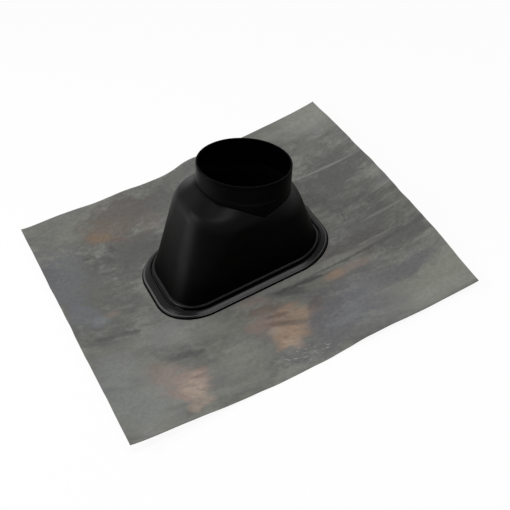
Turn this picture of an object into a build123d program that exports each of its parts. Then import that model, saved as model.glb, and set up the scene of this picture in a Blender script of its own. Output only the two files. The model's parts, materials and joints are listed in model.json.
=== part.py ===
from build123d import *
import os
from math import cos, hypot, radians, sin

# A flue flashing for a pitched roof: a black moulded hood bonded to a square of soft lead.
# The frame: the sheet lies on z = 0 with +Z up, and +X points up the roof's slope.

# Lead sheet
LEAD = 1.8
SHEET_CORNERS = ((-245.5, -248.0, 20.0), (245.0, -252.0, 9.0), (249.5, 248.5, 12.0), (-249.5, 251.0, 19.0))
FLAT_LENGTH = 330.0
FLAT_WIDTH = 300.0
HEEL_START = -35.0
HEEL_POWER = 1.4
RIDGE = 6.0
RIDGE_RUN = (0.0, 70.0)
TOE_START = 170.0
UPHILL_CURL = 10.0
UPHILL_BOW = 4.5
NET_COLUMNS = 11
NET_RISE = (0.0, 0.0, 0.35, 1.0)

# Turned-up edge of the lead's opening
UPSTAND = 5.6
UPSTAND_IN = 15.6
UPSTAND_BEND = 1.2

# Hood
WALL = 2.5
HOOD_X = 2.0
HOOD_Y = 5.0
FLANGE_LENGTH = 262.0
FLANGE_WIDTH = 177.0
FLANGE_CORNER = 64.5
BEAD_WIDTH = 10.5
BEAD_HEIGHT = 6.5
BEAD_OUTER_EASE = 2.8
BEAD_INNER_EASE = 1.5
GROOVE_HEIGHT = 4.2
LEDGE_IN = 12.5
LEDGE_HEIGHT = 9.5
LEDGE_EASE = 1.5

# Walls, leaning in as they rise, with rounded corners
WALL_IN = 15.5
WALL_FOOT = 7.0
WALL_TOP = 160.0
TAIL_LEAN = 0.579
NOSE_LEAN = 0.033
SIDE_LEAN = 0.035
CORNER_ROUND = 58.0

# Shoulder, which slopes from the eaves up to the collar
EAVES_DEPTH = 51.0
EAVES_ROUND = 12.0
TAIL_CENTRE = -18.0
TAIL_RADIUS = 72.0
NOSE_CENTRE = 13.5
NOSE_RADIUS = 65.7
SHOULDER_RISE = 1.228
SHOULDER_CROWN = 30.0
SHOULDER_SKIRT = 160.0

# Collar
COLLAR_RADIUS = 65.5
COLLAR_TILT = 17.0
RIM_X = 52.5
RIM_Z = 147.0
RIM_EASE = 0.7
STEP_DEPTH = 28.0
STEP_OUT = 0.8
STEP_EASE = 0.6
COLLAR_ROOT = 58.0

# Sealing bead
SEAL_GAP = 0.1

LEAN = (sin(radians(COLLAR_TILT)), 0, cos(radians(COLLAR_TILT)))
ACROSS = (cos(radians(COLLAR_TILT)), 0, -sin(radians(COLLAR_TILT)))
RIM_CENTRE = Vector(HOOD_X + RIM_X, HOOD_Y, RIM_Z)
UP_FROM_PLANE = (Align.CENTER, Align.CENTER, Align.MIN)


def below_rim(depth):
    """The plane across the collar at a depth below its rim, with x pointing down the lean."""
    return Plane(origin=RIM_CENTRE - Vector(*LEAN) * depth, x_dir=ACROSS, z_dir=LEAN)


def above_sheet(height):
    """The level plane at a height above the sheet's top, centred on the hood."""
    return Plane(origin=(HOOD_X, HOOD_Y, LEAD + height))


def rounded(inset):
    """The flange's outline, moved inwards."""
    return RectangleRounded(
        FLANGE_LENGTH - 2 * inset,
        FLANGE_WIDTH - 2 * inset,
        FLANGE_CORNER - inset,
    )


def leaning_outline(half, inset, leans, low):
    """An upright outline whose two sides lean in, set out from the walls' foot at half a flange's size."""
    foot = LEAD + WALL_FOOT
    corners = []
    for side, lean in zip((-1, 1), leans):
        place = half - WALL_IN - inset * hypot(1, lean)
        ends = [(side * (place - lean * (height - foot)), height) for height in (low, WALL_TOP)]
        corners += ends[::-side]
    return make_face(Polyline(corners, close=True))


def walls(inset):
    """The leaning walls: a side outline crossed with an end outline, with the corners rounded."""
    low = LEAD + WALL_FOOT - inset
    side = leaning_outline(FLANGE_LENGTH / 2, inset, (TAIL_LEAN, NOSE_LEAN), low)
    end = leaning_outline(FLANGE_WIDTH / 2, inset, (SIDE_LEAN, SIDE_LEAN), low)
    form = extrude(Plane.XZ * side, FLANGE_WIDTH, both=True) & extrude(Plane.YZ * end, FLANGE_LENGTH, both=True)
    legs = form.edges() - form.edges().filter_by(Axis.X) - form.edges().filter_by(Axis.Y)
    return Pos(HOOD_X, HOOD_Y) * fillet(legs, CORNER_ROUND - inset)


def shoulder_outline(grow):
    """A wide tail circle and a narrower nose circle, with one band drawn round them both."""
    tail = Pos(TAIL_CENTRE, 0) * Circle(TAIL_RADIUS + grow)
    nose = Pos(NOSE_CENTRE, 0) * Circle(NOSE_RADIUS + grow)
    return make_hull(tail.edges() + nose.edges())


def shoulder(inset):
    """The slope from the eaves up to the collar, carried on past both of them."""
    depth = EAVES_DEPTH + inset * hypot(1, SHOULDER_RISE)
    skirt = below_rim(depth + SHOULDER_RISE * SHOULDER_SKIRT) * shoulder_outline(SHOULDER_SKIRT)
    crown = below_rim(depth - SHOULDER_RISE * SHOULDER_CROWN) * shoulder_outline(-SHOULDER_CROWN)
    return loft([skirt, crown], ruled=True)


def body_skin():
    """The outside of the walls and the shoulder, rounded at the eaves where they meet."""
    upright = walls(0)
    slope = shoulder(0)
    body = upright & slope
    return fillet(new_edges(upright, slope, combined=body), EAVES_ROUND)


def flange_skin():
    """The flange's outside: a rolled bead, a groove and a rounded ledge."""
    bead = above_sheet(0) * extrude(rounded(0) - rounded(BEAD_WIDTH), BEAD_HEIGHT)
    top = bead.faces().sort_by(Axis.Z)[-1]
    bead = chamfer(top.outer_wire().edges(), BEAD_OUTER_EASE)
    top = bead.faces().filter_by(GeomType.PLANE).sort_by(Axis.Z)[-1]
    bead = chamfer(top.inner_wires()[0].edges(), BEAD_INNER_EASE)
    groove = above_sheet(0) * extrude(rounded(BEAD_WIDTH / 2), GROOVE_HEIGHT)
    ledge = above_sheet(0) * extrude(rounded(LEDGE_IN), LEDGE_HEIGHT)
    ledge = chamfer(ledge.faces().sort_by(Axis.Z)[-1].edges(), LEDGE_EASE)
    return bead + groove + ledge


def flange_hollow():
    """The flange's underside: a channel under the bead and a recess under the ledge."""
    channel = extrude(rounded(WALL) - rounded(BEAD_WIDTH - WALL), LEAD + BEAD_HEIGHT - WALL)
    gap = extrude(rounded(WALL), LEAD + GROOVE_HEIGHT - WALL)
    recess = extrude(rounded(LEDGE_IN + WALL), LEAD + LEDGE_HEIGHT - WALL)
    return above_sheet(-LEAD) * (channel + gap + recess)


def collar_skin():
    """The collar's outside, with a small step where it thickens towards its root."""
    upper = below_rim(COLLAR_ROOT) * Cylinder(COLLAR_RADIUS, COLLAR_ROOT, align=UP_FROM_PLANE)
    thick = COLLAR_RADIUS + STEP_OUT
    root = below_rim(COLLAR_ROOT) * Cylinder(thick, COLLAR_ROOT - STEP_DEPTH, align=UP_FROM_PLANE)
    lip = root.edges().sort_by(lambda e: below_rim(0).to_local_coords(e.center()).Z)[-1]
    return upper + chamfer(lip, STEP_EASE)


def make_hood():
    """One moulded shell, open from the collar's rim down to the roof."""
    skin = flange_skin() + body_skin() + collar_skin()
    bore = below_rim(COLLAR_ROOT) * Cylinder(COLLAR_RADIUS - WALL, 2 * COLLAR_ROOT, align=UP_FROM_PLANE)
    core = flange_hollow() + (walls(WALL) & shoulder(WALL)) + bore
    shell = skin - core
    rim = shell.edges().filter_by(lambda e: abs(below_rim(0).to_local_coords(e.center()).Z) < 0.01)
    return chamfer(rim, RIM_EASE)


def between(start, end, share):
    """A place or a number at a share of the way from start to end."""
    return start + (end - start) * share


def ease(start, end, value):
    """A smooth rise from 0 to 1 between two places."""
    t = min(max((value - start) / (end - start), 0), 1)
    return t * t * (3 - 2 * t)


def long_edge_lift(downhill, uphill, x):
    """How far a long edge of the lead stands off the roof: a curled heel, a ridge and a lifted toe."""
    heel = max(0, (x - HEEL_START) / (downhill[0] - HEEL_START)) ** HEEL_POWER
    toe = max(0, (x - TOE_START) / (uphill[0] - TOE_START)) ** 2
    return downhill[2] * heel + RIDGE * ease(*RIDGE_RUN, x) + (uphill[2] - RIDGE) * toe


def lead_margin(inner, outer, lift, bow=0.0):
    """One side's margin, a smooth patch from the flat middle's edge out to the cut edge."""
    net = []
    for row, rise in enumerate(NET_RISE):
        out = row / (len(NET_RISE) - 1)
        points = []
        for column in range(NET_COLUMNS):
            along = column / (NET_COLUMNS - 1)
            near = between(Vector(*inner[0]), Vector(*inner[1]), along)
            far = between(Vector(*outer[0][:2]), Vector(*outer[1][:2]), along)
            place = between(near, far, out)
            bulge = 4 * bow * out * along * (1 - along)
            points.append((place.X + bulge, place.Y, rise * lift(along, far.X)))
        net.append(points)
    return extrude(Face.make_bezier_surface(net), LEAD, dir=(0, 0, 1))


def edges_under_flange(sheet, height):
    """The sheet's level edges at a height, inside the flange's outline."""
    def inside(edge):
        place = edge.center() - Vector(HOOD_X, HOOD_Y, height)
        return abs(place.X) < FLANGE_LENGTH / 2 and abs(place.Y) < FLANGE_WIDTH / 2 and abs(place.Z) < 0.01

    return sheet.edges().filter_by(inside)


def make_lead_sheet():
    """The lead: a flat middle, four wavy margins and an opening with its edge turned up."""
    x = FLAT_LENGTH / 2
    y = FLAT_WIDTH / 2
    inner = [(-x, -y), (x, -y), (x, y), (-x, y)]
    front_down, front_up, back_up, back_down = SHEET_CORNERS

    def front(along, place):
        return long_edge_lift(front_down, front_up, place)

    def uphill(along, place):
        return between(front_up[2], back_up[2], along) + 4 * UPHILL_CURL * along * (1 - along)

    def back(along, place):
        return long_edge_lift(back_down, back_up, place)

    def downhill(along, place):
        return between(back_down[2], front_down[2], along)

    sides = [(front, 0.0), (uphill, UPHILL_BOW), (back, 0.0), (downhill, 0.0)]
    sheet = extrude(Rectangle(FLAT_LENGTH, FLAT_WIDTH), LEAD)
    for side, (lift, bow) in enumerate(sides):
        after = (side + 1) % len(sides)
        ends = (inner[side], inner[after])
        sheet += lead_margin(ends, (SHEET_CORNERS[side], SHEET_CORNERS[after]), lift, bow)

    turned_up = above_sheet(-LEAD) * extrude(rounded(UPSTAND_IN), LEAD + UPSTAND)
    opening = above_sheet(-LEAD) * extrude(rounded(UPSTAND_IN + LEAD), LEAD + UPSTAND)
    sheet = sheet + turned_up - opening
    return chamfer(edges_under_flange(sheet, 0), UPSTAND_BEND)


def make_sealing_bead():
    """The bonding compound that fills the channel under the flange's rolled bead."""
    ring = rounded(WALL + SEAL_GAP) - rounded(BEAD_WIDTH - WALL - SEAL_GAP)
    return above_sheet(0) * extrude(ring, BEAD_HEIGHT - WALL - SEAL_GAP)


parts = {
    "lead_sheet": make_lead_sheet(),
    "hood": make_hood(),
    "sealing_bead": make_sealing_bead(),
}

os.makedirs("parts", exist_ok=True)
for name, solid in parts.items():
    export_step(solid, f"parts/{name}.step")
    print(name, round(solid.volume / 1000, 2), "cm3", len(solid.solids()), "solid", solid.is_valid)
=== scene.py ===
import json

import bpy
import numpy as np
from mathutils import Matrix, Vector


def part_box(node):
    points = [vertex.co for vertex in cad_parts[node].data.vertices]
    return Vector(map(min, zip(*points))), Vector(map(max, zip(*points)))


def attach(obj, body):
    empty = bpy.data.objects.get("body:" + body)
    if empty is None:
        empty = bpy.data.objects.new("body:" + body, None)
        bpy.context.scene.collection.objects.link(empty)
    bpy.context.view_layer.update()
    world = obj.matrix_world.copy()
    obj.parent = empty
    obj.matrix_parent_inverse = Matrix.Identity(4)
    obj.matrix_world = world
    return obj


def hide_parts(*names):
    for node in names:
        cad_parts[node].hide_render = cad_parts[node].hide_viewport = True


# A flue flashing: a black moulded hood on a square of soft lead. Metres, +X up the roof's slope.
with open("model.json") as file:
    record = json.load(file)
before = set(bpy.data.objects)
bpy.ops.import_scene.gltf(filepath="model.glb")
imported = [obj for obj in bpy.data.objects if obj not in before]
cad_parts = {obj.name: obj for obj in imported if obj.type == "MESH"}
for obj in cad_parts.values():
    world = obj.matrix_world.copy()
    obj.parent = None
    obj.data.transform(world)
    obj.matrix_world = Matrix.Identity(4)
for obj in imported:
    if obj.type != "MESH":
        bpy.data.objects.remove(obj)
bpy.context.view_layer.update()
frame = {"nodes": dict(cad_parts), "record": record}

# Places and sizes read from the frame
hood_low, hood_high = (np.array(corner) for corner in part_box("hood"))
mounts = {mount["name"]: mount for mount in frame["record"]["mounts"]}
HOOD_CENTRE = (hood_low + hood_high)[:2] / 2
FLANGE_HALF = (hood_high - hood_low)[:2] / 2
SHEET_TOP = hood_low[2]
LEAN = np.array(mounts["flue_collar"]["axis"])
ACROSS = np.array([LEAN[2], 0.0, -LEAN[0]])
SIDEWAYS = np.array([0.0, 1.0, 0.0])
MOUNT_BELOW_RIM = 0.010
RIM_CENTRE = np.array(mounts["flue_collar"]["pos_m"]) + LEAN * MOUNT_BELOW_RIM
BORE = mounts["flue_collar"]["dims"]["r_mm"] / 1000

# Hood
WALL = 0.0025
COLLAR_RADIUS = BORE + WALL
RIM_ROUND = 0.0009
STEP_DEPTH = 0.028
STEP_SHARE = 0.8
STEP_OUT = 0.0008
STEP_FADE = (0.030, 0.034)
STEP_END = (0.55, 0.20)
EAVES_DEPTH = 0.051
INSET_DROP = 0.4
TAIL_END = -0.090
TAIL_HALF = 0.072
TAIL_CORNER = 0.056
NOSE_CENTRE = 0.0135
NOSE_RADIUS = 0.0657
END_FLAT = np.radians(8.0)
CREASE_TRIM = 0.0009
CREASE_DEEP = 0.0012
EAVES_TRIM = (0.009, 0.012)
EAVES_SOFT = 0.004
TAIL_SHARP = (-0.906, -0.707)
FOOT_TRIM = 0.003
FLANGE_CORNER = 0.0645
WALL_IN = 0.0155
TAIL_WIDER = 0.45
LEDGE_HEIGHT = 0.0095
LEDGE_IN = 0.0125
GROOVE_HEIGHT = 0.0042
BEAD_IN = 0.0105
EAVES_REACH = 0.75
INNER_RIM_DROP = 0.0006

# Lead
LEAD_THICK = SHEET_TOP
OPENING_IN = 0.0174
UPSTAND = 0.0056
UPSTAND_BEND = 0.001
UNDER_BEND = 0.0005
CUT_ROUND = 0.0004

# Columns along the lines, ends and arcs of the hood's loops
LINE_COLUMNS = 40
END_COLUMNS = 24
ARC_COLUMNS = 48

# Rows of the hood's skin from the rim down, as counts or as shares of the way
LIP_ROWS = 9
COLLAR_SHARES = np.linspace(0.12, 1, 8)
ROOT_SHARES = (0.3, 0.65, 0.95)
CREASE_ROWS = 6
SHOULDER_ROWS = 5
EAVES_ROWS = 14
WALL_ROWS = 20
FOOT_ROWS = 5
CORNER_ROWS = 6
INNER_WALL_SHARES = np.linspace(0.08, 0.95, 12)
INNER_SHOULDER_SHARES = np.linspace(0.08, 0.92, 5)
BORE_SHARES = np.linspace(0.03, 1, 10)

# The most of a side that a rounded corner of a profile may take
TRIM_LIMIT = 0.48


# Mesh helpers


def closed_mesh(name, points):
    """A mesh of quads on a grid of points (rows, columns, 3) that closes on itself both ways.

    Its own UV coordinates are the shares of the way along the columns and down the rows.
    """
    rows, columns = points.shape[:2]
    place = np.arange(rows * columns).reshape(rows, columns)
    below = np.roll(place, -1, axis=0)
    quads = np.stack([place, below, np.roll(below, -1, axis=1), np.roll(place, -1, axis=1)], axis=-1)
    mesh = bpy.data.meshes.new(name)
    mesh.from_pydata(points.reshape(-1, 3).tolist(), [], quads.reshape(-1, 4).tolist())
    mesh.polygons.foreach_set("use_smooth", np.ones(rows * columns, dtype=bool))
    row, column = np.divmod(np.arange(rows * columns), columns)
    along = column[:, None] + np.array((0, 0, 1, 1))
    down = row[:, None] + np.array((0, 1, 1, 0))
    shares = np.stack([along / columns, down / rows], axis=-1)
    mesh.uv_layers.new(name="shares").data.foreach_set("uv", shares.ravel())
    piece = bpy.data.objects.new(name, mesh)
    bpy.context.scene.collection.objects.link(piece)
    return piece


def steps(count):
    """Shares from 0 up to, but not reaching, 1."""
    return np.arange(count) / count


def ease(start, end, value):
    """A smooth rise from 0 to 1 between two places: 3t^2 - 2t^3."""
    t = np.clip((value - start) / (end - start), 0.0, 1.0)
    return t * t * (3.0 - 2.0 * t)


def straight(start, end, shares):
    """Points on the line start + (end - start) t for each share t; one new leading axis."""
    shares = np.asarray(shares).reshape(-1, *([1] * np.ndim(start)))
    return start + (end - start) * shares


def bend(before, corner, after, count):
    """A quadratic curve (1-t)^2 before + 2t(1-t) corner + t^2 after, without its last point."""
    t = steps(count).reshape(-1, *([1] * np.ndim(corner)))
    return (1 - t) ** 2 * before + 2 * t * (1 - t) * corner + t**2 * after


def curve_through(knots, value):
    """A smooth curve through (place, height) knots: cubic pieces with slopes from the neighbours."""
    place, height = np.array(knots).T
    slope = np.gradient(height, place)
    piece = np.clip(np.searchsorted(place, value) - 1, 0, len(place) - 2)
    width = place[piece + 1] - place[piece]
    t = np.clip((value - place[piece]) / width, 0, 1)
    rise = ease(0, 1, t)
    start = t * (1 - t) ** 2 * width * slope[piece]
    end = -(t**2) * (1 - t) * width * slope[piece + 1]
    return height[piece] * (1 - rise) + height[piece + 1] * rise + start + end


def around(centre, radius, angle):
    """Points on a circle: centre + radius (cos, sin)."""
    return np.array(centre) + radius * np.stack([np.cos(angle), np.sin(angle)], axis=-1)


def arc_loop(arcs):
    """Four arcs (centre, radius, start, sweep) joined into one closed loop of points, anticlockwise.

    Arcs about different centres are joined by straight lines, and arcs about one centre by going round it.
    The loop begins with the join that leads into the first arc.
    """
    pieces = []
    for number, (centre, radius, start, sweep) in enumerate(arcs):
        before, last_radius, last_start, last_sweep = arcs[number - 1]
        last_end = last_start + last_sweep
        count = LINE_COLUMNS if number % 2 == 0 else END_COLUMNS
        if before == centre:
            pieces.append(around(centre, radius, straight(last_end, start, steps(count))))
        else:
            first = around(before, last_radius, last_end)
            pieces.append(straight(first, around(centre, radius, start), steps(count)))
        pieces.append(around(centre, radius, straight(start, start + sweep, steps(ARC_COLUMNS))))
    return np.concatenate(pieces)


def widen_tail(loop, inset):
    """A flange loop moved uphill at its tail end, by a part of its inset that fades round the corners.

    A point a share s of the corner's radius beyond the corner's centre moves by TAIL_WIDER * inset * s**2.
    """
    beyond = HOOD_CENTRE[0] - FLANGE_HALF[0] + FLANGE_CORNER - loop[:, 0]
    share = np.clip(beyond / (FLANGE_CORNER - inset), 0, 1)
    return loop + np.stack([TAIL_WIDER * inset * share ** 2, 0 * share], axis=1)


def flange_loop(inset):
    """The flange's rounded rectangle moved inwards: four quarter arcs about fixed centres."""
    x, y = FLANGE_HALF - FLANGE_CORNER
    centres = ((x, -y), (x, y), (-x, y), (-x, -y))
    quarter = np.pi / 2
    arcs = [(c, FLANGE_CORNER - inset, quarter * (turn - 1), quarter) for turn, c in enumerate(centres)]
    return widen_tail(arc_loop(arcs) + HOOD_CENTRE, inset)


def eaves_loop(inset):
    """The eaves: a round nose and two rounded tail corners, joined by straight lines.

    The lines down the sides touch both: a normal n has n . (nose - tail) = tail radius - nose radius.
    """
    centre = np.array((TAIL_END + TAIL_CORNER, -(TAIL_HALF - TAIL_CORNER)))
    way = np.array((NOSE_CENTRE, 0.0)) - centre
    normal = np.arctan2(way[1], way[0]) - np.arccos((TAIL_CORNER - NOSE_RADIUS) / np.hypot(*way))
    nose = (NOSE_CENTRE, 0.0)
    turn = np.pi + normal
    return arc_loop([
        (nose, NOSE_RADIUS - inset, normal, -normal - END_FLAT),
        (nose, NOSE_RADIUS - inset, END_FLAT, -normal - END_FLAT),
        ((centre[0], -centre[1]), TAIL_CORNER - inset, -normal, turn),
        ((centre[0], centre[1]), TAIL_CORNER - inset, np.pi, turn),
    ])


def on_collar(x, y, depth):
    """The place x across and y sideways of the collar's axis, at a depth below its rim."""
    x, y, depth = np.broadcast_arrays(x, y, depth)
    return RIM_CENTRE + x[..., None] * ACROSS + y[..., None] * SIDEWAYS - depth[..., None] * LEAN


def at_height(loop, height):
    """A flat loop lifted to a height above the lead."""
    return np.concatenate([loop, np.full((len(loop), 1), SHEET_TOP + height)], axis=1)


def rounded_profile(corners, count):
    """A profile of (inset, height, trim) corners, each trimmed and bent with a quadratic curve."""
    corners = np.array(corners)
    places = corners[:, :2]
    pieces = [places[:1]]
    for here in range(1, len(corners) - 1):
        spot = places[here]
        back = places[here - 1] - spot
        on = places[here + 1] - spot
        trim = corners[here, 2]
        before = spot + back * min(trim / np.linalg.norm(back), TRIM_LIMIT)
        after = spot + on * min(trim / np.linalg.norm(on), TRIM_LIMIT)
        pieces += [bend(before, spot, after, count), after[None]]
    return np.concatenate(pieces + [places[-1:]])


# Hood


def towards(start, end, trim, share=0.45):
    """A place on the way from start to end, a trim away or a share of the whole way if that is less."""
    way = end - start
    length = np.linalg.norm(way, axis=-1, keepdims=True)
    return start + way * np.minimum(trim / length, share)


# Depth of the crease below the rim, as (degrees round the collar from the tail, depth)
CREASE = (
    (0, 0.0275), (15, 0.0273), (25, 0.0295), (35, 0.0316), (50, 0.0320), (63.5, 0.0343), (75, 0.0388),
    (85, 0.0438), (94, 0.0474), (103.5, 0.0438), (116, 0.0398), (130, 0.0380), (155, 0.0365), (180, 0.0360),
)

# The collar's step, as (depth below its start, share of its height)
STEP_CURVE = ((0.0002, 0.35), (0.0004, 0.75), (0.0008, 0.95), (0.0014, 1.0))

# The flange's section, from the wall's foot to the outer edge and back underneath, as (inset, height, trim)
FLANGE_PROFILE = (
    (WALL_IN - FOOT_TRIM / 2, LEDGE_HEIGHT, 0.0),
    (LEDGE_IN, LEDGE_HEIGHT, 0.0030),
    (LEDGE_IN, GROOVE_HEIGHT, 0.0008),
    (BEAD_IN, GROOVE_HEIGHT, 0.0008),
    (BEAD_IN, 0.0067, 0.0015),
    (0.0078, 0.0066, 0.0018),
    (0.0007, 0.0022, 0.0007),
    (0.0, 0.0010, 0.0006),
    (0.0, 0.0, 0.0003),
    (WALL, 0.0, 0.0003),
    (WALL, 0.0008, 0.0005),
    (0.0080, 0.0038, 0.0005),
    (0.0080, 0.0017, 0.0005),
    (0.0150, 0.0017, 0.0005),
    (0.0150, 0.0070, 0.0005),
    (WALL_IN + WALL, 0.0070, 0.0),
)

# The groove is the section's first place below this height, and the edge its first within this inset
GROOVE_BELOW = 0.0050
EDGE_WITHIN = 0.0012


def shoulder_lines(inset):
    """The eaves' loop, the way to its points from the collar's axis, and the crease's depth above them."""
    x, y = eaves_loop(inset).T
    reach = np.hypot(x, y)
    eaves = on_collar(x, y, EAVES_DEPTH + INSET_DROP * inset)
    crease_depth = curve_through(CREASE, np.degrees(np.arccos(-x / reach))) + INSET_DROP * inset
    return eaves, x / reach, y / reach, crease_depth


def hood_points():
    """The hood's skin in rows: rim, collar, crease, shoulder, eaves, walls, flange, and back up inside.

    With it come the shares of the rows at which the lip ends, the crease lies, and the walls, the flange,
    its groove and its outer edge begin.
    """
    eaves, cos, sin, crease_depth = shoulder_lines(0.0)
    inner_eaves, inner_cos, inner_sin, inner_depth = shoulder_lines(WALL)

    def ring(radius, depth):
        return on_collar(radius * cos, radius * sin, depth)[None]

    # The rim's rounded lip
    lip = []
    for angle in np.linspace(np.pi, 0, LIP_ROWS):
        middle = BORE + WALL / 2
        side = np.sign(np.round(np.cos(angle), 6)) * (WALL / 2 - RIM_ROUND)
        lip.append(ring(middle + side + RIM_ROUND * np.cos(angle), RIM_ROUND * (1 - np.sin(angle))))

    # The collar, with a small step where it thickens
    swell = STEP_OUT * ease(*STEP_FADE, crease_depth) * ease(*STEP_END, cos)
    crease_depth = crease_depth + swell
    root = crease_depth - CREASE_TRIM
    step = np.minimum(STEP_DEPTH, STEP_SHARE * root)
    step_end = step + STEP_CURVE[-1][0]
    collar = [ring(COLLAR_RADIUS, RIM_ROUND + (step - RIM_ROUND) * share) for share in COLLAR_SHARES]
    collar += [ring(COLLAR_RADIUS + swell * out, step + along) for along, out in STEP_CURVE]
    collar += [ring(COLLAR_RADIUS + swell, step_end + (root - step_end) * share) for share in ROOT_SHARES]

    # Crease, shoulder, eaves, walls and foot; the eaves are softer away from the tail
    crease = ring(COLLAR_RADIUS + swell, crease_depth)[0]
    valley = ring(COLLAR_RADIUS + swell - CREASE_DEEP, crease_depth + CREASE_DEEP / 2)[0]
    above_crease = ring(COLLAR_RADIUS + swell, root)[0]
    foot = at_height(flange_loop(WALL_IN), LEDGE_HEIGHT)
    ledge = at_height(flange_loop(WALL_IN - FOOT_TRIM / 2), LEDGE_HEIGHT)
    soft = ease(*TAIL_SHARP, cos)[:, None]
    below_crease = towards(crease, eaves, CREASE_TRIM)
    above_eaves = towards(eaves, crease, EAVES_TRIM[0] + EAVES_SOFT * soft, EAVES_REACH)
    below_eaves = towards(eaves, foot, EAVES_TRIM[1] + EAVES_SOFT * soft)
    above_foot = towards(foot, eaves, FOOT_TRIM)
    body = [
        bend(above_crease, valley, below_crease, CREASE_ROWS),
        straight(below_crease, above_eaves, steps(SHOULDER_ROWS)),
        bend(above_eaves, eaves, below_eaves, EAVES_ROWS),
        straight(below_eaves, above_foot, steps(WALL_ROWS)),
        bend(above_foot, foot, ledge, FOOT_ROWS),
    ]

    # The flange's ledge, groove and rounded bead, then its underside
    outside = rounded_profile(FLANGE_PROFILE, CORNER_ROWS)
    flange = [at_height(flange_loop(inset), height)[None] for inset, height in outside]

    # The inside, from the flange up to the bore and the rim
    inner_foot = flange[-1][0]
    inner_crease = on_collar(BORE * inner_cos, BORE * inner_sin, inner_depth)
    inner_rim = on_collar(BORE * inner_cos, BORE * inner_sin, RIM_ROUND + INNER_RIM_DROP)
    inside = [
        straight(inner_foot, inner_eaves, INNER_WALL_SHARES),
        straight(inner_eaves, inner_crease, INNER_SHOULDER_SHARES),
        straight(inner_crease, inner_rim, BORE_SHARES),
    ]
    points = np.concatenate(lip + collar + body + flange + inside)
    crease_row = len(lip) + len(collar) + CREASE_ROWS // 2
    wall_row = len(lip) + len(collar) + sum(len(part) for part in body[:3])
    flange_row = len(lip) + len(collar) + sum(len(part) for part in body)
    groove_row = flange_row + int(np.argmax(outside[:, 1] < GROOVE_BELOW))
    edge_row = flange_row + int(np.argmax(outside[:, 0] < EDGE_WITHIN))
    rows = (len(lip), crease_row, wall_row, flange_row, groove_row, edge_row)
    return points, [row / len(points) for row in rows]


# Lead

# How far each edge of the lead stands off the roof, as (place along the edge, lift)
FRONT_EDGE = ((-0.25, 0.020), (-0.196, 0.0129), (-0.15, 0.0087), (-0.092, 0.0025), (-0.05, 0.0006),
              (0.02, 0.0002), (0.05, 0.0024), (0.079, 0.0062), (0.15, 0.0055), (0.2, 0.0062), (0.25, 0.009))
BACK_EDGE = ((-0.25, 0.0193), (-0.19, 0.0147), (-0.135, 0.0085), (-0.085, 0.0060), (-0.04, 0.0020),
             (0.0, 0.0030), (0.018, 0.0072), (0.06, 0.0070), (0.15, 0.0057), (0.2, 0.0078), (0.25, 0.0117))
UPHILL_EDGE = ((-0.252, 0.009), (-0.12, 0.0155), (-0.02, 0.0172), (0.1, 0.0162), (0.25, 0.012))
DOWNHILL_EDGE = ((-0.25, 0.020), (0.0, 0.0192), (0.25, 0.0193))
SHEET_CORNERS = np.array(((-0.2455, -0.2480), (0.2450, -0.2520), (0.2495, 0.2485), (-0.2495, 0.2510)))
SHEET_HALF = (0.2475, 0.250)
UPHILL_SIDE = 1
UPHILL_BOW = 0.0025
LIFT_POWER = 2.0
MITRE_POWER = 6.0
REACH_LIMIT = 1.03

# The dents' waves, as (radians a metre along X, the same along Y, start, height)
DENT_WAVES = ((61, 23, 0.0, 1.0), (-49, 37, 1.3, 1.0), (83, -29, 2.1, 0.6), (19, 71, 0.4, 0.7))
DENT_DEPTH = 0.00022
DENT_RAISE = 1.5
DENT_FADE = (0.0, 0.35)

# The cut edge's waves, as (radians along a side, start, height), their depth on each side and their shift
WANDER_WAVES = ((20, 0.5, 1.0), (46, 1.1, 0.6), (83, 0.0, 0.4))
EDGE_WANDER = (0.0004, 0.0004, 0.0004, 0.0003)
WANDER_SHIFT = 37

# Columns along half a corner and along a side of the lead, and rows out to its edge and round it
SHEET_COLUMNS = (40, 100)
SHEET_ROWS = 64
CUT_ROWS = 4


def sheet_lift(x, y):
    """The lead's height off the roof: each edge's lift times the square of the way out to it, plus dents.

    Where two edges share a corner, their heights are averaged by the sixth power of those ways out.
    The dents are four crossing waves that fade in away from the flange.
    """
    right, top = FLANGE_HALF
    outs = [
        (HOOD_CENTRE[1] - top - y) / (HOOD_CENTRE[1] - top + SHEET_HALF[1]),
        (x - HOOD_CENTRE[0] - right) / (SHEET_HALF[0] - HOOD_CENTRE[0] - right),
        (y - HOOD_CENTRE[1] - top) / (SHEET_HALF[1] - HOOD_CENTRE[1] - top),
        (HOOD_CENTRE[0] - right - x) / (HOOD_CENTRE[0] - right + SHEET_HALF[0]),
    ]
    lifts = [
        curve_through(FRONT_EDGE, x),
        curve_through(UPHILL_EDGE, y),
        curve_through(BACK_EDGE, x),
        curve_through(DOWNHILL_EDGE, y),
    ]
    total = np.zeros_like(x)
    weight = np.full_like(x, 1e-9)
    for out, lift in zip(outs, lifts):
        share = np.clip(out, 0, REACH_LIMIT)
        total += share**MITRE_POWER * lift * share**LIFT_POWER
        weight += share**MITRE_POWER
    waves = np.zeros_like(x)
    for along, across, start, height in DENT_WAVES:
        waves += height * np.sin(along * x + across * y + start)
    dents = DENT_DEPTH * (waves + DENT_RAISE) * ease(*DENT_FADE, np.max(outs, axis=0))
    return np.maximum(total / weight + dents, 0.0)


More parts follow.
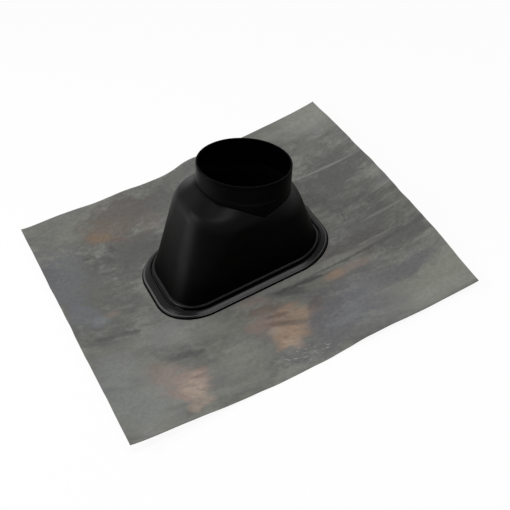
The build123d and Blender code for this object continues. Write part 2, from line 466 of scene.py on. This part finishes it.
def near_loop(inset):
    """The flange's rounded rectangle moved inwards, begun at a corner's middle like the cut edge."""
    arc, line = SHEET_COLUMNS
    radius = FLANGE_CORNER - inset
    x, y = FLANGE_HALF - FLANGE_CORNER
    centres = np.array(((-x, -y), (x, -y), (x, y), (-x, y)))
    pieces = []
    for number, centre in enumerate(centres):
        after = centres[(number + 1) % 4]
        middle = np.pi * (number - 1) / 2
        pieces.append(around(centre, radius, middle - np.pi / 4 * (1 - steps(arc))))
        pieces.append(straight(around(centre, radius, middle), around(after, radius, middle), steps(line)))
        pieces.append(around(after, radius, middle + np.pi / 4 * steps(arc)))
    return widen_tail(np.concatenate(pieces) + HOOD_CENTRE, inset)


def cut_edge():
    """The lead's cut edge: four lines that wander a little, and a bow along the uphill one."""
    share = steps(2 * SHEET_COLUMNS[0] + SHEET_COLUMNS[1])
    wander = sum(height * np.sin(along * share + start) for along, start, height in WANDER_WAVES)
    sides = []
    for number, corner in enumerate(SHEET_CORNERS):
        middle = np.pi * (number - 1) / 2
        out = np.array((np.cos(middle), np.sin(middle)))
        shift = EDGE_WANDER[number] * np.sin(np.pi * share) * np.roll(wander, WANDER_SHIFT * number)
        if number == UPHILL_SIDE:
            shift = shift + UPHILL_BOW * 4 * share * (1 - share)
        sides.append(straight(corner, SHEET_CORNERS[(number + 1) % 4], share) + shift[:, None] * out)
    return np.concatenate(sides)


def sheet_points():
    """The lead: a turned-up edge under the flange, the wavy sheet out to its cut edge, and its underside."""
    near = near_loop(0.0)
    way = cut_edge() - near

    def level(inset, height):
        loop = near_loop(inset)
        return np.concatenate([loop, np.full((len(loop), 1), height)], axis=1)[None]

    def laid(share, thickness, trim=0.0):
        loop = near + way * share - trim * way / np.linalg.norm(way, axis=1, keepdims=True)
        height = sheet_lift(loop[:, 0], loop[:, 1]) + thickness
        return np.concatenate([loop, height[:, None]], axis=1)[None]

    outer = OPENING_IN - LEAD_THICK
    top = LEAD_THICK + UPSTAND
    rows = [level(OPENING_IN, top), level(outer, top), level(outer, top / 2)]
    rows.append(level(outer - UPSTAND_BEND, LEAD_THICK))
    rows += [laid(share, LEAD_THICK) for share in np.linspace(0, 1, SHEET_ROWS)[:-1]]
    for angle in np.linspace(0, np.pi / 2, CUT_ROWS):
        rows.append(laid(1.0, LEAD_THICK - CUT_ROUND * (1 - np.cos(angle)), CUT_ROUND * (1 - np.sin(angle))))
    for angle in np.linspace(np.pi / 2, 0, CUT_ROWS):
        rows.append(laid(1.0, CUT_ROUND * (1 - np.cos(angle)), CUT_ROUND * (1 - np.sin(angle))))
    rows += [laid(share, 0.0) for share in np.linspace(1, 0, SHEET_ROWS // 2)[1:]]
    rows += [level(OPENING_IN - UNDER_BEND, 0.0), level(OPENING_IN, top / 2)]
    return np.concatenate(rows)


# Materials


class Nodes:
    """A node tree with short calls for adding nodes and linking values into their sockets."""

    def __init__(self, tree):
        self.tree = tree

    def add(self, kind, sockets=(), **settings):
        node = self.tree.nodes.new(kind)
        for name, value in settings.items():
            setattr(node, name, value)
        for name, value in dict(sockets).items():
            self.put(node.inputs[name], value)
        return node

    def put(self, socket, value):
        if isinstance(value, bpy.types.NodeSocket):
            self.tree.links.new(value, socket)
        else:
            socket.default_value = value

    def group(self, tree, **values):
        return self.add("ShaderNodeGroup", values, node_tree=tree).outputs[0]

    def math(self, operation, *values):
        return self.add("ShaderNodeMath", enumerate(values), operation=operation).outputs[0]

    def vector(self, operation, *values):
        node = self.add("ShaderNodeVectorMath", enumerate(values), operation=operation)
        return node.outputs["Value" if operation == "LENGTH" else "Vector"]

    def noise(self, place, scale, detail=4.0, roughness=0.55):
        sockets = {"Vector": place, "Scale": scale, "Detail": detail, "Roughness": roughness}
        return self.add("ShaderNodeTexNoise", sockets).outputs["Fac"]

    def spread(self, value, low, high, start=0.0, end=1.0):
        sockets = {"Value": value, "From Min": low, "From Max": high, "To Min": start, "To Max": end}
        return self.add("ShaderNodeMapRange", sockets, interpolation_type="SMOOTHSTEP").outputs[0]

    def blend(self, share, first, second, mode="MIX"):
        node = self.add("ShaderNodeMix", data_type="RGBA", blend_type=mode)
        for name, value in (("Factor_Float", share), ("A_Color", first), ("B_Color", second)):
            socket = next(s for s in node.inputs if s.identifier == name)
            self.put(socket, value)
        return next(s for s in node.outputs if s.identifier == "Result_Color")


def grey(level, warm=0.0):
    """An opaque grey, warmed by adding to its red and taking from its blue."""
    return (level + warm, level, level - warm, 1.0)


def make_group(name, inputs, output):
    """A shader node group with float or vector inputs and one float output."""
    tree = bpy.data.node_groups.new(name, "ShaderNodeTree")
    for label, kind in inputs:
        tree.interface.new_socket(label, in_out="INPUT", socket_type=kind)
    tree.interface.new_socket(output, in_out="OUTPUT", socket_type="NodeSocketFloat")
    nodes = Nodes(tree)
    return nodes, nodes.add("NodeGroupInput"), nodes.add("NodeGroupOutput")


def patch_group():
    """A ragged oval mask: 1 inside, falling to 0 as the scaled distance plus a ripple passes 1."""
    nodes, given, result = make_group("ragged_patch", (
        ("Place", "NodeSocketVector"),
        ("Centre", "NodeSocketVector"),
        ("Size", "NodeSocketVector"),
        ("Turn", "NodeSocketFloat"),
        ("Ripple", "NodeSocketFloat"),
        ("Strength", "NodeSocketFloat"),
    ), "Mask")
    away = nodes.vector("SUBTRACT", given.outputs["Place"], given.outputs["Centre"])
    turned = nodes.add("ShaderNodeVectorRotate", {"Vector": away, "Angle": given.outputs["Turn"]},
                       rotation_type="Z_AXIS").outputs[0]
    reach = nodes.vector("LENGTH", nodes.vector("DIVIDE", turned, given.outputs["Size"]))
    inside = nodes.spread(nodes.math("ADD", reach, given.outputs["Ripple"]), 1.30, 0.45)
    nodes.put(result.inputs["Mask"], nodes.math("MULTIPLY", inside, given.outputs["Strength"]))
    return nodes.tree


def streak_group():
    """Noise drawn out along one way by stretching the place before it is read."""
    nodes, given, result = make_group("drawn_streaks", (
        ("Place", "NodeSocketVector"),
        ("Stretch", "NodeSocketVector"),
        ("Turn", "NodeSocketFloat"),
    ), "Tone")
    sockets = {"Vector": given.outputs["Place"], "Angle": given.outputs["Turn"]}
    turned = nodes.add("ShaderNodeVectorRotate", sockets, rotation_type="Z_AXIS").outputs[0]
    drawn = nodes.vector("MULTIPLY", turned, given.outputs["Stretch"])
    nodes.put(result.inputs["Tone"], nodes.noise(drawn, 1.0, 6.0, 0.62))
    return nodes.tree


def new_material(name):
    """A material with a Principled shader, its node helper and its Object coordinates."""
    material = bpy.data.materials.new(name)
    material.use_nodes = True
    nodes = Nodes(material.node_tree)
    shader = material.node_tree.nodes["Principled BSDF"]
    place = nodes.add("ShaderNodeTexCoord").outputs["Object"]
    return material, nodes, shader, place


# Colours of the lead, of what has stained it, and of painted shade
LEAD_DARK = (0.085, 0.085, 0.079, 1.0)
LEAD_LIGHT = (0.172, 0.174, 0.154, 1.0)
VIOLET = (0.122, 0.119, 0.127, 1.0)
OLIVE = (0.142, 0.146, 0.119, 1.0)
TAN = (0.300, 0.238, 0.196, 1.0)
ROSE = (0.200, 0.150, 0.130, 1.0)
BROWN = (0.112, 0.076, 0.062, 1.0)
EARTH = (0.120, 0.108, 0.095, 1.0)
ORANGE = (0.158, 0.108, 0.066, 1.0)
RUST = (0.110, 0.088, 0.074, 1.0)
BUFF = (0.360, 0.285, 0.226, 1.0)
UMBER = (0.088, 0.080, 0.073, 1.0)
SAND = (0.266, 0.190, 0.130, 1.0)
SLATE = (0.120, 0.124, 0.137, 1.0)
PLUM = (0.098, 0.095, 0.100, 1.0)
# A near-black used for soot smears and for painted shade
SOOT_AND_SHADE = (0.052, 0.053, 0.050, 1.0)
PALE = (0.222, 0.225, 0.200, 1.0)
MOSS = (0.172, 0.178, 0.146, 1.0)
MIST = (0.186, 0.194, 0.182, 1.0)
FROST = (0.190, 0.212, 0.240, 1.0)

# Soft zones and stains, in the order they lie: colour, centre, half sizes, turn and strength
STAINS = (
    # Broad zones of tone and hue, and broad zones of painted shade
    (LEAD_DARK, (-0.214, 0.070), (0.070, 0.120), 0.00, 0.78),
    (SLATE, (-0.226, 0.110), (0.034, 0.080), 0.10, 0.55),
    (SLATE, (-0.226, 0.016), (0.024, 0.028), 0.00, 0.60),
    (SLATE, (-0.232, -0.128), (0.024, 0.050), -0.10, 0.50),
    (SLATE, (0.078, -0.192), (0.054, 0.046), 0.25, 0.65),
    (SLATE, (0.118, -0.160), (0.050, 0.026), 0.10, 0.50),
    (PLUM, (0.165, -0.060), (0.075, 0.045), 0.05, 0.45),
    (PLUM, (0.132, -0.182), (0.070, 0.036), 0.10, 0.35),
    (UMBER, (0.148, -0.080), (0.050, 0.022), 0.05, 0.80),
    # Painted shade: the lead darker towards its uphill side
    (LEAD_DARK, (0.217, -0.108), (0.045, 0.022), 0.05, 0.90),
    (LEAD_DARK, (0.190, -0.058), (0.050, 0.030), 0.05, 0.50),
    (LEAD_DARK, (0.185, 0.030), (0.055, 0.050), 0.00, 0.45),
    (LEAD_DARK, (0.206, 0.108), (0.044, 0.032), 0.00, 0.85),
    # Painted shade: the lead darker towards its back
    (LEAD_DARK, (-0.055, 0.190), (0.060, 0.038), 0.10, 0.95),
    (UMBER, (-0.106, 0.208), (0.058, 0.038), 0.10, 0.90),
    (MIST, (-0.206, -0.188), (0.058, 0.058), 0.00, 0.72),
    (MIST, (-0.216, -0.108), (0.034, 0.040), 0.00, 0.58),
    # Painted shade: darker towards the back and the uphill side
    (LEAD_DARK, (0.246, 0.150), (0.022, 0.038), 0.00, 0.45),
    (LEAD_DARK, (0.070, 0.170), (0.070, 0.050), 0.00, 0.30),
    # Painted shade beside the flange's tail end, on lead that is darker there too
    (LEAD_DARK, (-0.118, 0.116), (0.060, 0.056), 0.00, 0.90),
    (LEAD_DARK, (-0.132, 0.074), (0.022, 0.040), 0.00, 0.70),
    (SOOT_AND_SHADE, (-0.112, 0.110), (0.048, 0.048), 0.00, 0.42),
    # Painted shadow of the hood beside the flange's uphill end
    (LEAD_DARK, (0.186, 0.072), (0.062, 0.044), 0.10, 0.85),
    (SOOT_AND_SHADE, (0.184, 0.076), (0.058, 0.034), 0.10, 0.42),
    # Painted shade: darker towards the back
    (LEAD_DARK, (0.194, 0.158), (0.030, 0.038), 0.00, 0.62),
    (LEAD_DARK, (0.000, 0.228), (0.032, 0.024), 0.00, 0.80),
    (LEAD_DARK, (-0.144, -0.116), (0.026, 0.020), 0.20, 0.50),
    # Painted sheen: the lead lighter at its back uphill corner
    (PALE, (0.230, 0.228), (0.060, 0.040), 0.00, 0.74),
    (PALE, (-0.110, -0.092), (0.048, 0.022), 0.30, 0.35),
    (MOSS, (0.210, -0.205), (0.068, 0.040), 0.10, 0.70),
    (PALE, (0.192, -0.235), (0.056, 0.018), 0.05, 0.50),
    (PLUM, (0.060, -0.164), (0.028, 0.036), 0.35, 0.85),
    (PLUM, (0.095, -0.142), (0.028, 0.015), 0.10, 0.65),
    (PLUM, (0.048, -0.222), (0.034, 0.018), 0.10, 0.80),
    (PLUM, (0.020, -0.238), (0.030, 0.012), 0.10, 0.50),
    (LEAD_DARK, (-0.034, -0.200), (0.020, 0.018), 0.20, 0.40),
    (PLUM, (0.150, -0.131), (0.026, 0.012), 0.05, 0.70),
    (PLUM, (0.187, -0.168), (0.044, 0.020), 0.05, 0.90),
    (MOSS, (-0.200, 0.215), (0.050, 0.035), 0.00, 0.35),
    (MOSS, (-0.070, -0.195), (0.040, 0.034), 0.20, 0.40),
    (EARTH, (-0.120, 0.165), (0.050, 0.034), 0.60, 0.25),
    (ROSE, (-0.072, 0.160), (0.018, 0.024), 0.20, 0.20),
    # Pale and dark lines
    (PALE, (0.085, -0.091), (0.092, 0.0075), 0.02, 0.60),
    (PALE, (0.192, 0.094), (0.052, 0.0030), 0.19, 0.48),
    (PALE, (0.218, -0.052), (0.040, 0.0026), 0.15, 0.50),
    (PALE, (0.180, -0.088), (0.040, 0.0022), 0.10, 0.40),
    (SOOT_AND_SHADE, (0.190, -0.101), (0.048, 0.0035), 0.10, 0.35),
    (SOOT_AND_SHADE, (0.062, -0.105), (0.044, 0.0042), 0.12, 0.80),
    (SOOT_AND_SHADE, (0.040, -0.111), (0.022, 0.0085), 0.30, 0.58),
    (SOOT_AND_SHADE, (0.122, -0.100), (0.046, 0.0030), 0.00, 0.60),
    # Dark smears and small marks
    (SOOT_AND_SHADE, (-0.131, -0.131), (0.026, 0.0085), 0.26, 0.68),
    (SOOT_AND_SHADE, (-0.112, -0.137), (0.019, 0.0045), 0.28, 0.55),
    (SOOT_AND_SHADE, (-0.190, -0.048), (0.042, 0.0045), 0.16, 0.50),
    (SOOT_AND_SHADE, (-0.172, -0.050), (0.016, 0.0045), 0.20, 0.30),
    (SOOT_AND_SHADE, (-0.015, -0.222), (0.032, 0.0120), 0.25, 0.35),
    (FROST, (-0.206, -0.006), (0.014, 0.012), 0.20, 0.35),
    (ROSE, (-0.188, 0.000), (0.012, 0.008), 0.00, 0.45),
    (SOOT_AND_SHADE, (0.165, -0.018), (0.0016, 0.026), 0.17, 0.40),
    # The tan wedge at the front left
    (ROSE, (-0.159, -0.166), (0.024, 0.044), -0.30, 0.60),
    (ROSE, (-0.138, -0.184), (0.024, 0.028), 0.30, 0.60),
    (TAN, (-0.143, -0.197), (0.020, 0.035), -0.20, 0.74),
    (TAN, (-0.131, -0.188), (0.014, 0.020), 0.30, 0.50),
    (TAN, (-0.154, -0.230), (0.007, 0.014), -0.30, 0.62),
    (BUFF, (-0.140, -0.198), (0.012, 0.018), -0.20, 0.40),
    (ROSE, (-0.161, -0.199), (0.0045, 0.026), -0.43, 0.55),
    (BROWN, (-0.130, -0.178), (0.011, 0.0018), 0.10, 0.50),
    (BROWN, (-0.161, -0.238), (0.005, 0.0024), 0.30, 0.40),
    # The tan stain at the front, with a rusty band above it
    (ROSE, (-0.015, -0.095), (0.026, 0.010), 0.30, 0.45),
    (RUST, (-0.003, -0.121), (0.034, 0.012), 0.35, 0.85),
    (ROSE, (-0.027, -0.140), (0.020, 0.015), 0.30, 0.60),
    (ROSE, (0.008, -0.160), (0.042, 0.034), 0.75, 0.70),
    (SAND, (0.025, -0.150), (0.032, 0.017), 0.60, 0.60),
    (SAND, (0.003, -0.182), (0.023, 0.025), 0.40, 0.85),
    (BUFF, (-0.012, -0.165), (0.011, 0.008), 0.40, 0.34),
    (BUFF, (0.002, -0.197), (0.013, 0.011), 0.40, 0.40),
    (BROWN, (0.003, -0.140), (0.020, 0.0042), 0.30, 0.72),
    (BROWN, (-0.004, -0.154), (0.022, 0.0045), 0.45, 0.60),
    (RUST, (0.018, -0.166), (0.020, 0.0050), 0.50, 0.60),
    (UMBER, (0.057, -0.148), (0.013, 0.012), 0.30, 0.80),
    (PLUM, (0.043, -0.181), (0.012, 0.024), 0.35, 0.78),
    # Small stains beside the flange
    (ROSE, (0.102, -0.117), (0.026, 0.010), 0.00, 0.62),
    (SAND, (0.100, -0.117), (0.014, 0.0075), 0.00, 0.62),
    (ROSE, (0.139, -0.117), (0.020, 0.009), 0.20, 0.58),
    # The rusty patch at the back, and dark flecks near it
    (RUST, (-0.136, 0.184), (0.044, 0.030), 0.40, 0.65),
    (ORANGE, (-0.151, 0.172), (0.019, 0.014), 0.40, 0.70),
    (BROWN, (-0.124, 0.149), (0.014, 0.0038), 0.40, 0.60),
    (SOOT_AND_SHADE, (-0.143, 0.135), (0.0055, 0.0090), 0.20, 0.65),
    (SOOT_AND_SHADE, (-0.176, 0.135), (0.011, 0.0045), 0.20, 0.58),
    (SOOT_AND_SHADE, (-0.177, 0.112), (0.006, 0.0070), 0.00, 0.55),
    (SOOT_AND_SHADE, (-0.166, 0.089), (0.014, 0.0045), 0.20, 0.55),
)

# Stains that rusty veins run through, and a spot at the front edge with pale scratches
VEINED = (TAN, SAND)
SPECK_CENTRE = (0.004, -0.227, 0.0)
SPECK_SIZE = (0.050, 0.014, 1.0)
SPECK_COLOUR = (0.40, 0.40, 0.385, 1.0)


def lead_material(patch, streaks):
    """Weathered rolled lead: blotchy grey with rolling lines, ragged stains and soft dents."""
    material, nodes, shader, place = new_material("weathered_lead")

    # Soft clouds, blotches and a fine mottle, with the hue drifting between violet and olive
    clouds = nodes.group(streaks, Place=place, Stretch=(9.0, 17.0, 6.0), Turn=0.25)
    blotches = nodes.group(streaks, Place=place, Stretch=(36.0, 62.0, 20.0), Turn=0.15)
    mottle = nodes.noise(place, 190.0, 3.0, 0.6)
    hue = nodes.noise(nodes.vector("ADD", place, (0.7, 0.3, 0.0)), 15.0, 2.0, 0.5)
    tone = nodes.math("ADD", nodes.math("MULTIPLY", clouds, 0.68), nodes.math("MULTIPLY", blotches, 0.32))
    colour = nodes.blend(nodes.spread(tone, 0.36, 0.62), LEAD_DARK, LEAD_LIGHT)
    colour = nodes.blend(nodes.spread(hue, 0.50, 0.72, 0.0, 0.50), colour, VIOLET)
    colour = nodes.blend(nodes.spread(hue, 0.48, 0.28, 0.0, 0.45), colour, OLIVE)

    # Rolling lines, plainest on the uphill half
    uphill = nodes.add("ShaderNodeSeparateXYZ", {0: place}).outputs["X"]
    lines = nodes.group(streaks, Place=place, Stretch=(7.0, 95.0, 8.0), Turn=0.03)
    rolled = nodes.spread(uphill, -0.06, 0.17, 0.16, 0.80)
    bright = nodes.math("MULTIPLY", rolled, nodes.spread(lines, 0.53, 0.72, 0.0, 0.62))
    shade_and_dull_lip = nodes.math("MULTIPLY", rolled, nodes.spread(lines, 0.46, 0.28, 0.0, 0.75))
    colour = nodes.blend(bright, colour, PALE)
    colour = nodes.blend(shade_and_dull_lip, colour, LEAD_DARK)

    # A few dark smears everywhere
    smears = nodes.group(streaks, Place=place, Stretch=(13.0, 58.0, 10.0), Turn=0.14)
    colour = nodes.blend(nodes.spread(smears, 0.56, 0.76, 0.0, 0.34), colour, SOOT_AND_SHADE)

    # Ragged stains
    torn = nodes.math("ADD", nodes.math("MULTIPLY", nodes.math("SUBTRACT", blotches, 0.5), 2.2),
                      nodes.math("MULTIPLY", nodes.math("SUBTRACT", mottle, 0.5), 0.6))
    stained = 0.0
    for tint, centre, size, turn, strength in STAINS:
        mask = nodes.group(patch, Place=place, Centre=(*centre, 0.0), Size=(*size, 1.0), Turn=turn,
                           Ripple=torn, Strength=strength)
        colour = nodes.blend(mask, colour, tint)
        if tint in VEINED:
            stained = nodes.math("MAXIMUM", stained, mask)
    veins = nodes.group(streaks, Place=place, Stretch=(55.0, 130.0, 30.0), Turn=0.5)
    veined = nodes.math("MULTIPLY", stained, nodes.spread(veins, 0.48, 0.68, 0.0, 0.70))
    colour = nodes.blend(veined, colour, RUST)
    scuffs = nodes.group(patch, Place=place, Centre=SPECK_CENTRE, Size=SPECK_SIZE, Turn=0.3, Ripple=torn,
                         Strength=0.8)
    scratches = nodes.group(streaks, Place=place, Stretch=(95.0, 300.0, 40.0), Turn=0.35)
    sparks = nodes.math("MULTIPLY", scuffs, nodes.spread(scratches, 0.56, 0.66))
    colour = nodes.blend(sparks, colour, SPECK_COLOUR)

    # Mottle over everything, and a soft relief
    grain = nodes.spread(mottle, 0.3, 0.7, 0.90, 1.10)
    mottled = nodes.add("ShaderNodeVectorMath", {0: colour, "Scale": grain}, operation="SCALE")
    nodes.put(shader.inputs["Base Color"], mottled.outputs["Vector"])
    nodes.put(shader.inputs["Roughness"], nodes.spread(tone, 0.3, 0.7, 0.66, 0.52))
    shader.inputs["Metallic"].default_value = 0.25
    relief = nodes.math("ADD", nodes.math("MULTIPLY", blotches, 0.8), nodes.math("MULTIPLY", mottle, 0.2))
    bump = nodes.add("ShaderNodeBump", {"Height": relief, "Strength": 0.25, "Distance": 0.0025})
    nodes.put(shader.inputs["Normal"], bump.outputs[0])
    return material


# Gloss of the hood's parts
GLOSS = {"collar": 0.024, "shoulder": 0.060, "walls": 0.036, "ledge": 0.180, "bead": 0.112}

# Half the share of the rows over which one finish gives way to the next
ROW_BLUR = 0.004


def hood_material(streaks, lip_share, crease_share, wall_share, flange_share, groove_share, edge_share):
    """Black moulded plastic: satin walls whose reflections fade to the foot as painted shade, a glossy
    flange, a dull lip, and painted shade along the crease and inside.
    """
    material, nodes, shader, place = new_material("black_moulded_plastic")
    flow = nodes.group(streaks, Place=place, Stretch=(14.0, 14.0, 40.0))
    shares = nodes.add("ShaderNodeTexCoord").outputs["UV"]
    down = nodes.add("ShaderNodeSeparateXYZ", {0: shares}).outputs["Y"]
    # Painted shade: the inside of the collar and a band along the crease are made darker and less glossy;
    # the lip is only made less glossy
    inside = nodes.spread(down, edge_share - ROW_BLUR, edge_share + ROW_BLUR)
    from_crease = nodes.math("ABSOLUTE", nodes.math("SUBTRACT", down, crease_share))
    crease = nodes.spread(from_crease, 0.004, 0.018, 0.8, 0.0)
    lip = nodes.spread(down, lip_share, lip_share + 0.008, 0.4, 0.0)
    shade_and_dull_lip = nodes.math("MAXIMUM", inside, nodes.math("MAXIMUM", crease, lip))
    flange = nodes.spread(down, flange_share - 0.015, flange_share)

    # Gloss, changing from the collar down to the flange
    height = flange_share - wall_share
    gloss = nodes.spread(down, crease_share, crease_share + 0.01, GLOSS["collar"], GLOSS["shoulder"])
    walls = nodes.spread(down, wall_share - 0.04, wall_share, 1.0, GLOSS["walls"] / GLOSS["shoulder"])
    # Painted shade: the walls reflect less towards their foot, a soft darkening low on the hood beside the
    # lead
    painted_foot_shade = nodes.spread(down, wall_share + 0.30 * height, wall_share + 0.95 * height, 1.0, 0.12)
    gloss = nodes.math("MULTIPLY", gloss, nodes.math("MULTIPLY", walls, painted_foot_shade))
    groove = (groove_share - ROW_BLUR, groove_share + ROW_BLUR)
    ledge = nodes.spread(down, *groove, GLOSS["ledge"], GLOSS["bead"])
    gloss = nodes.math("MAXIMUM", gloss, nodes.math("MULTIPLY", flange, ledge))
    gloss = nodes.math("MULTIPLY", gloss, nodes.spread(shade_and_dull_lip, 0.0, 1.0, 1.0, 0.15))
    gloss = nodes.math("MULTIPLY", gloss, nodes.spread(inside, 0.0, 1.0, 1.0, 0.15))
    nodes.put(shader.inputs["Specular IOR Level"], gloss)
    satin = nodes.spread(flow, 0.3, 0.7, 0.35, 0.43)
    satin = nodes.math("SUBTRACT", satin, nodes.math("MULTIPLY", flange, 0.13))
    nodes.put(shader.inputs["Roughness"], nodes.math("ADD", satin, nodes.math("MULTIPLY", inside, 0.3)))

    colour = nodes.blend(nodes.spread(flow, 0.35, 0.7), grey(0.0005), grey(0.0010, 0.0001))
    # Painted shade: the crease and the inside, with the lip, take a flatter, darker black
    nodes.put(shader.inputs["Base Color"], nodes.blend(shade_and_dull_lip, colour, grey(0.0004)))
    grain = nodes.noise(place, 900.0, 2.0, 0.5)
    bump = nodes.add("ShaderNodeBump", {"Height": grain, "Strength": 0.06, "Distance": 0.0004})
    nodes.put(shader.inputs["Normal"], bump.outputs[0])
    return material


def sealant_material():
    """Dark bonding compound with an uneven, slightly glossy skin."""
    material, nodes, shader, place = new_material("bonding_compound")
    lumps = nodes.noise(place, 160.0, 3.0, 0.5)
    nodes.put(shader.inputs["Base Color"], nodes.blend(lumps, grey(0.035), grey(0.06)))
    nodes.put(shader.inputs["Roughness"], nodes.spread(lumps, 0.3, 0.7, 0.45, 0.65))
    bump = nodes.add("ShaderNodeBump", {"Height": lumps, "Strength": 0.3, "Distance": 0.001})
    nodes.put(shader.inputs["Normal"], bump.outputs[0])
    return material


# The pieces
patch = patch_group()
streaks = streak_group()

skin, marks = hood_points()
hood = closed_mesh("hood_shell", skin)
hood.data.materials.append(hood_material(streaks, *marks))
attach(hood, "root")
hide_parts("hood")

lead = closed_mesh("lead_apron", sheet_points())
lead.data.materials.append(lead_material(patch, streaks))
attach(lead, "root")
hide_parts("lead_sheet")

bead = frame["nodes"]["sealing_bead"]
bead.data.materials.clear()
bead.data.materials.append(sealant_material())


# Floor, light and camera
FLOOR_DROP = 0.0004
FLOOR_SIZE = 12.0
FLOOR_SHADE = 0.07
WORLD_LEVEL = 0.17

# Soft lights, as (name, place, aim, size, power)
LAMPS = (
    ("front_panel", (0.10, -0.62, 1.95), (0.0, 0.0, 0.0), (1.5, 0.6), 25.0),
    ("left_panel", (-1.48, 0.60, 0.24), (0.0, 0.0, 0.10), (0.9, 0.42), 10.0),
    ("side_panel", (-1.30, 0.55, 1.15), (0.0, 0.0, 0.10), (0.7, 0.6), 13.0),
)

# The camera's place, the ways its picture runs right and down, and its lens and sensor in millimetres
CAMERA_PLACE = (-0.26359, -1.29210, 1.13120)
CAMERA_RIGHT = Vector((0.88956, -0.39865, -0.22307))
CAMERA_DOWN = Vector((-0.42482, -0.54237, -0.72482))
CAMERA_LENS = 86.91
CAMERA_SENSOR = 36.0


def background_rays(nodes):
    """1 for the rays that show the white background: camera, glossy and transmission rays."""
    path = nodes.add("ShaderNodeLightPath")
    seen = nodes.math("MAXIMUM", path.outputs["Is Camera Ray"], path.outputs["Is Glossy Ray"])
    return nodes.math("MAXIMUM", seen, path.outputs["Is Transmission Ray"])


def make_floor():
    """A wide pale floor just under the lead, seen mixed with plain white."""
    half = FLOOR_SIZE / 2
    corners = [(x, y, -FLOOR_DROP) for x, y in ((-half, -half), (half, -half), (half, half), (-half, half))]
    mesh = bpy.data.meshes.new("floor")
    mesh.from_pydata(corners, [], [(0, 1, 2, 3)])
    floor = bpy.data.objects.new("floor", mesh)
    bpy.context.scene.collection.objects.link(floor)
    material, nodes, shader, place = new_material("pale_floor")
    mottle = nodes.noise(place, 3.0, 2.0, 0.5)
    nodes.put(shader.inputs["Base Color"], nodes.blend(mottle, grey(0.86), grey(0.90)))
    shader.inputs["Roughness"].default_value = 0.9
    white = nodes.add("ShaderNodeEmission", {"Strength": 1.0})
    seen = nodes.math("MULTIPLY", background_rays(nodes), 1 - FLOOR_SHADE)
    mixed = nodes.add("ShaderNodeMixShader", {0: seen, 1: shader.outputs[0], 2: white.outputs[0]})
    nodes.put(material.node_tree.nodes["Material Output"].inputs["Surface"], mixed.outputs[0])
    mesh.materials.append(material)


def make_world():
    """A soft grey surround, seen as plain white."""
    world = bpy.data.worlds.new("studio")
    bpy.context.scene.world = world
    world.use_nodes = True
    nodes = Nodes(world.node_tree)
    background = world.node_tree.nodes["Background"]
    nodes.put(background.inputs["Color"], nodes.blend(background_rays(nodes), grey(WORLD_LEVEL), grey(1.0)))


def make_lamp(name, place, aim, size, power):
    """A rectangular soft light at a place, turned to face another."""
    light = bpy.data.lights.new(name, "AREA")
    light.shape = "RECTANGLE"
    light.size, light.size_y = size
    light.energy = power
    lamp = bpy.data.objects.new(name, light)
    lamp.location = place
    lamp.rotation_euler = (Vector(aim) - Vector(place)).to_track_quat("-Z", "Y").to_euler()
    bpy.context.scene.collection.objects.link(lamp)


def make_camera():
    """The photograph's camera: a view from the front and above, with its right side tipped down."""
    camera = bpy.data.objects.new("camera", bpy.data.cameras.new("camera"))
    camera.data.sensor_width = CAMERA_SENSOR
    camera.data.lens = CAMERA_LENS
    back = -CAMERA_RIGHT.cross(CAMERA_DOWN)
    turn = Matrix((CAMERA_RIGHT, -CAMERA_DOWN, back)).transposed()
    camera.matrix_world = Matrix.Translation(CAMERA_PLACE) @ turn.to_4x4()
    bpy.context.scene.collection.objects.link(camera)
    bpy.context.scene.camera = camera


make_floor()
make_world()
for lamp in LAMPS:
    make_lamp(*lamp)
make_camera()

bpy.context.scene.view_settings.view_transform = "Standard"
